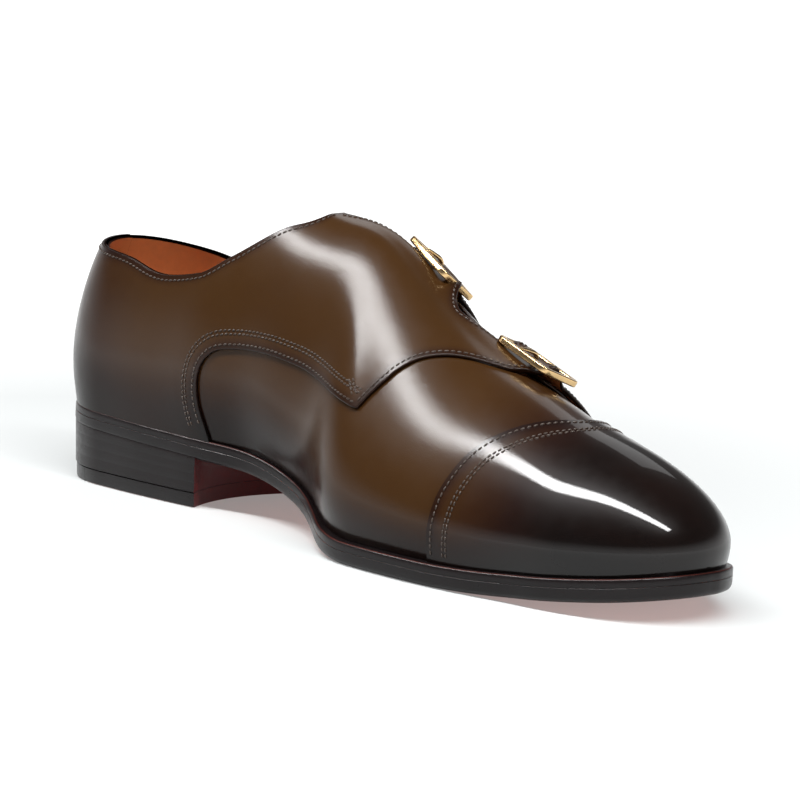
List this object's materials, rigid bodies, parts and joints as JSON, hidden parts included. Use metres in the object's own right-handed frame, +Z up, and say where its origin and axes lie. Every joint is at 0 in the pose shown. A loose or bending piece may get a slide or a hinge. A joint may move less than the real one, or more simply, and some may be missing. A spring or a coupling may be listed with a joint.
{
  "type": "monk strap shoe",
  "caption": "Left dress shoe with a cap toe, a welted leather sole with a stacked heel, and straps that cross the instep to brass buckles on the outer side.",
  "frame": {"origin": "on the floor, under the middle of the heel", "axes": "+Y to the toe, +X to the medial (inner) side, +Z up"},
  "size_m": [0.1058, 0.3029, 0.1076],
  "materials": {
    "sole_leather": "polished orange leather",
    "welt": "burnished black leather",
    "insole": "smooth tan leather",
    "heel_stack": "burnished black stacked leather",
    "top_piece_leather": "satin orange leather",
    "top_piece_rubber": "matt black rubber",
    "vamp": "burnished brown calf, polished",
    "tongue": "dark brown calf",
    "toe_cap": "burnished brown calf, mirror polished",
    "quarters": "burnished brown calf, polished",
    "buckles": "polished brass"
  },
  "bodies": {
    "root": {"outsole": "sole_leather", "welt": "welt", "insole": "insole", "heel_stack": "heel_stack", "heel_leather": "top_piece_leather", "heel_rubber": "top_piece_rubber", "upper": "vamp", "tongue": "tongue", "toe_cap": "toe_cap", "medial_quarter": "quarters", "lateral_quarter": "quarters", "front_buckle": "buckles", "front_prong": "buckles", "rear_buckle": "buckles", "rear_prong": "buckles"}
  },
  "joints": []
}
